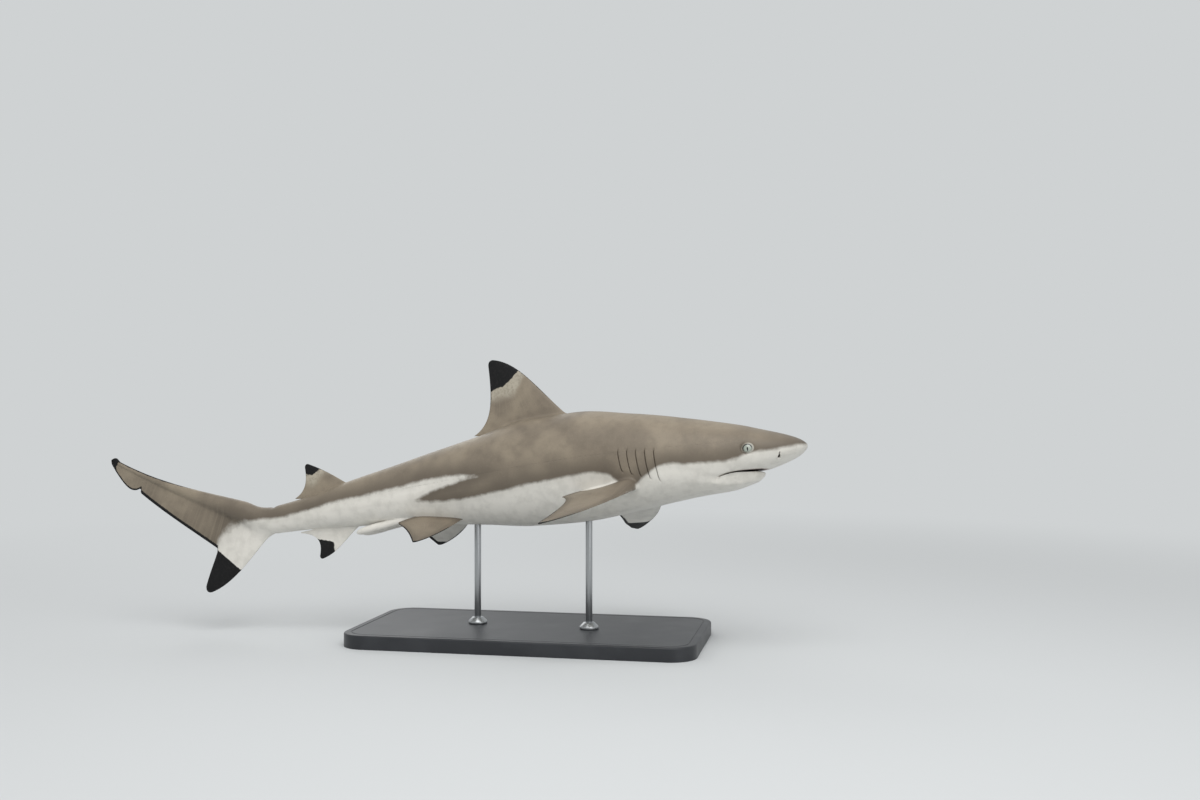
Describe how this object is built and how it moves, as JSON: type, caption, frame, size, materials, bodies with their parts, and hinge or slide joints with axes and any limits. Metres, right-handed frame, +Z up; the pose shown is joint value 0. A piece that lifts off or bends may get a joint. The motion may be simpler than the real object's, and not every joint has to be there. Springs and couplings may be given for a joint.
{
  "type": "blacktip reef shark display model",
  "caption": "Life-size reef shark swimming in a gentle curve, held over a flat display base by short rods under its belly.",
  "frame": {"origin": "centre of the underside of the stand's base, on the surface that it stands on", "axes": "+X forward along the animal from tail to snout, +Z up, so the animal's right side faces -Y"},
  "size_m": [1.3064, 0.5547, 0.5014],
  "materials": {
    "skin": "fine-grained shark skin, satin",
    "fin_skin": "fine-grained fin skin, satin, near-black at the tips",
    "eye": "wet, glossy",
    "stand_board": "board painted satin black",
    "stand_metal": "brushed steel"
  },
  "bodies": {
    "root": {"head": "skin", "lower_jaw": "skin", "gill_region": "skin", "trunk": "skin", "rear_trunk": "skin", "tail_stem": "skin", "caudal_fin_upper_lobe": "fin_skin", "caudal_fin_lower_lobe": "fin_skin", "first_dorsal_fin": "fin_skin", "second_dorsal_fin": "fin_skin", "anal_fin": "fin_skin", "pectoral_fin_left": "fin_skin", "pectoral_fin_right": "fin_skin", "pelvic_fin_left": "fin_skin", "pelvic_fin_right": "fin_skin", "clasper_left": "skin", "clasper_right": "skin", "eye_left": "eye", "eye_right": "eye", "stand_base": "stand_board", "stand_rod_front": "stand_metal", "stand_rod_rear": "stand_metal", "stand_collar_front": "stand_metal", "stand_collar_rear": "stand_metal"}
  },
  "joints": []
}
